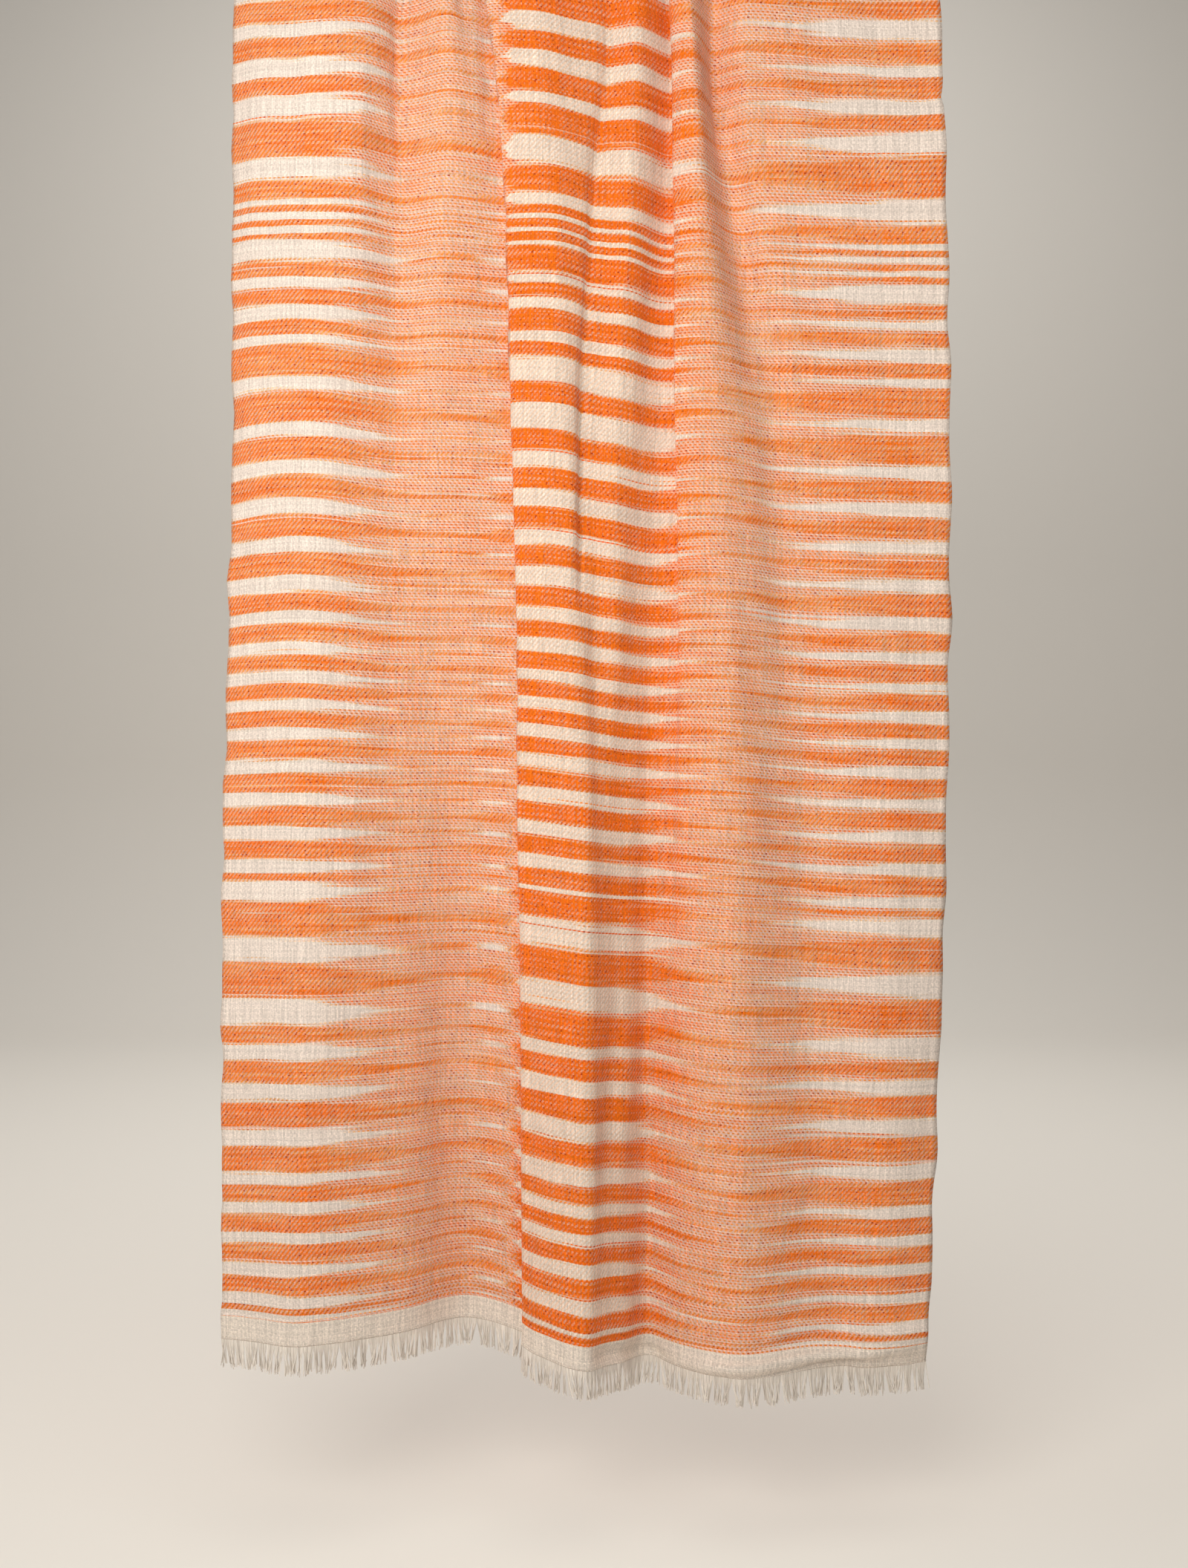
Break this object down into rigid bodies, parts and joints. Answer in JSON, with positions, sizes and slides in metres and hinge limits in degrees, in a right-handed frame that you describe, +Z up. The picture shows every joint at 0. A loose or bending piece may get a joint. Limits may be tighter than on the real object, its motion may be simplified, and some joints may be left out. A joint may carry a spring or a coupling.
{
  "type": "pashmina shawl on hanging rod",
  "caption": "Soft twill shawl with blended orange and cream stripes and fringed ends, hung in loose folds over a plain wooden rod.",
  "frame": {"origin": "centre of the hanging rod, on its axis and midway between its ends", "axes": "+X along the rod to the right as seen in the picture, +Y to the back, +Z up; the front fall hangs on the -Y side"},
  "size_m": [0.8, 0.1004, 1.2579],
  "materials": {
    "pashmina_front": "matte wool twill, orange and cream ikat weft stripes",
    "pashmina_turn": "matte wool twill, orange and cream ikat weft stripes",
    "pashmina_back": "matte wool twill, orange and cream ikat weft stripes",
    "fringe_front": "matte undyed wool warp ends",
    "fringe_back": "matte undyed wool warp ends",
    "rod_wood": "polished brown wood"
  },
  "bodies": {
    "root": {"front_fall": "pashmina_front", "over_rod": "pashmina_turn", "back_fall": "pashmina_back", "front_fringe": "fringe_front", "back_fringe": "fringe_back", "rod": "rod_wood"}
  },
  "joints": []
}
